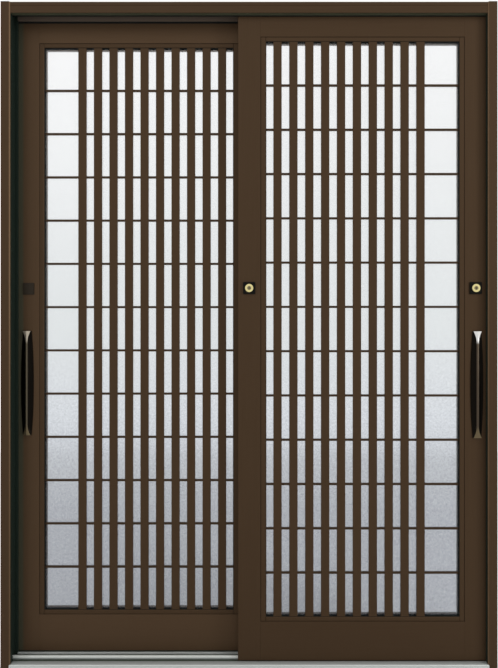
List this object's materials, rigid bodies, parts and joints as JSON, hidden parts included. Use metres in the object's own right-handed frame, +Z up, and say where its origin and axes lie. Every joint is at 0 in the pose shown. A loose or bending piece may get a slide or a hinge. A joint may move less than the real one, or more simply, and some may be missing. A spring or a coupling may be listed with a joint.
{
  "type": "sliding door",
  "caption": "Two-leaf sliding entrance door in its frame, with upright slats over frosted glass, roller tracks, pull handles, hook locks and a meeting bolt.",
  "frame": {"origin": "middle of the sill's underside", "axes": "+X to the right seen from outside, +Y into the room, +Z up"},
  "size_m": [1.64, 0.1213, 2.23],
  "materials": {
    "brown_finish": "dark brown anodised and lacquered extrusion, satin",
    "sill_metal": "clear anodised, satin",
    "stainless": "brushed",
    "frosted_glass": "frosted pattern",
    "seal": "matt black",
    "guide_plastic": "moulded",
    "handle_bronze": "dark bronze, polished on the ridge",
    "dark_plate": "satin dark",
    "brass_lock": "polished",
    "turn_metal": "satin"
  },
  "bodies": {
    "frame": {"left_jamb": "brown_finish", "right_jamb": "brown_finish", "head": "brown_finish", "sill": "sill_metal", "rail_caps": "stainless", "frame_screws": "stainless", "frame_seals": "seal", "jamb_strikes": "stainless", "door_stops": "seal"},
    "outer_leaf": {"outer_jamb_stile": "brown_finish", "outer_meeting_stile": "brown_finish", "outer_top_rail": "brown_finish", "outer_bottom_rail": "brown_finish", "outer_beads": "brown_finish", "outer_glass": "frosted_glass", "outer_gasket": "seal", "outer_slats": "brown_finish", "outer_bars": "brown_finish", "outer_handle": "handle_bronze", "outer_inside_pull": "dark_plate", "outer_roller_brackets": "stainless", "outer_top_guides": "guide_plastic", "outer_meeting_seal": "seal", "outer_leaf_screws": "stainless", "outer_lock_case": "stainless", "outer_thumb_rose": "dark_plate", "lock_escutcheons": "dark_plate", "lock_cylinders": "brass_lock", "meeting_strike": "stainless"},
    "inner_leaf": {"inner_jamb_stile": "brown_finish", "inner_meeting_stile": "brown_finish", "inner_top_rail": "brown_finish", "inner_bottom_rail": "brown_finish", "inner_beads": "brown_finish", "inner_glass": "frosted_glass", "inner_gasket": "seal", "inner_slats": "brown_finish", "inner_bars": "brown_finish", "inner_handle": "handle_bronze", "inner_inside_pull": "dark_plate", "inner_roller_brackets": "stainless", "inner_top_guides": "guide_plastic", "inner_meeting_seal": "seal", "inner_leaf_screws": "stainless", "inner_lock_case": "stainless", "inner_thumb_rose": "dark_plate", "inner_lock_cover": "dark_plate", "meeting_case": "stainless"},
    "outer_front_roller": {"outer_roller_1": "guide_plastic"},
    "outer_rear_roller": {"outer_roller_2": "guide_plastic"},
    "inner_front_roller": {"inner_roller_1": "guide_plastic"},
    "inner_rear_roller": {"inner_roller_2": "guide_plastic"},
    "outer_hook": {"outer_hook_bolt": "stainless"},
    "inner_hook": {"inner_hook_bolt": "stainless"},
    "outer_turn": {"outer_thumb_turn": "turn_metal"},
    "inner_turn": {"inner_thumb_turn": "turn_metal"},
    "middle_turn": {"meeting_turn": "turn_metal"},
    "middle_bolt": {"meeting_bolt": "stainless"},
    "jamb_plug": {"jamb_key_plug": "brass_lock"},
    "middle_plug": {"meeting_key_plug": "brass_lock"}
  },
  "joints": [
    {"name": "outer_slide", "type": "slide", "parent": "frame", "child": "outer_leaf", "axis": [1, 0, 0], "range_m": [-0.685, 0]},
    {"name": "inner_slide", "type": "slide", "parent": "frame", "child": "inner_leaf", "axis": [1, 0, 0], "range_m": [0, 0.685]},
    {"name": "outer_front_roller_spin", "type": "hinge", "parent": "outer_leaf", "child": "outer_front_roller", "pos_m": [0.098, -0.019, 0.0603], "axis": [0, 1, 0], "continuous": true},
    {"name": "outer_rear_roller_spin", "type": "hinge", "parent": "outer_leaf", "child": "outer_rear_roller", "pos_m": [0.66, -0.019, 0.0603], "axis": [0, 1, 0], "continuous": true},
    {"name": "outer_turn_hinge", "type": "hinge", "parent": "outer_leaf", "child": "outer_turn", "pos_m": [0.756, -0.019, 1.284], "axis": [0, 1, 0], "range_deg": [0, 90]},
    {"name": "outer_hook_hinge", "type": "hinge", "parent": "outer_leaf", "child": "outer_hook", "pos_m": [0.776, -0.019, 1.27], "axis": [0, 1, 0], "range_deg": [0, 90]},
    {"name": "inner_front_roller_spin", "type": "hinge", "parent": "inner_leaf", "child": "inner_front_roller", "pos_m": [-0.098, 0.026, 0.0673], "axis": [0, 1, 0], "continuous": true},
    {"name": "inner_rear_roller_spin", "type": "hinge", "parent": "inner_leaf", "child": "inner_rear_roller", "pos_m": [-0.66, 0.026, 0.0673], "axis": [0, 1, 0], "continuous": true},
    {"name": "inner_turn_hinge", "type": "hinge", "parent": "inner_leaf", "child": "inner_turn", "pos_m": [-0.756, 0.026, 1.284], "axis": [0, -1, 0], "range_deg": [0, 90]},
    {"name": "inner_hook_hinge", "type": "hinge", "parent": "inner_leaf", "child": "inner_hook", "pos_m": [-0.776, 0.026, 1.27], "axis": [0, -1, 0], "range_deg": [0, 90]},
    {"name": "middle_turn_hinge", "type": "hinge", "parent": "inner_leaf", "child": "middle_turn", "pos_m": [0, 0.026, 1.284], "axis": [0, -1, 0], "range_deg": [0, 90]},
    {"name": "middle_bolt_slide", "type": "slide", "parent": "inner_leaf", "child": "middle_bolt", "axis": [0, -1, 0], "range_m": [0, 0.019]},
    {"name": "jamb_plug_hinge", "type": "hinge", "parent": "outer_leaf", "child": "jamb_plug", "pos_m": [0.756, -0.036, 1.284], "axis": [0, 1, 0], "range_deg": [-90, 90]},
    {"name": "middle_plug_hinge", "type": "hinge", "parent": "outer_leaf", "child": "middle_plug", "pos_m": [0, -0.036, 1.284], "axis": [0, 1, 0], "range_deg": [-90, 90]}
  ],
  "couplings": [
    {"joint": "outer_front_roller_spin", "follows": "outer_slide", "rad_per_m": 71.429},
    {"joint": "outer_rear_roller_spin", "follows": "outer_slide", "rad_per_m": 71.429},
    {"joint": "outer_hook_hinge", "follows": "outer_turn_hinge", "ratio": 1},
    {"joint": "inner_front_roller_spin", "follows": "inner_slide", "rad_per_m": 71.429},
    {"joint": "inner_rear_roller_spin", "follows": "inner_slide", "rad_per_m": 71.429},
    {"joint": "inner_hook_hinge", "follows": "inner_turn_hinge", "ratio": 1},
    {"joint": "middle_turn_hinge", "follows": "middle_bolt_slide", "rad_per_m": 82.673}
  ]
}
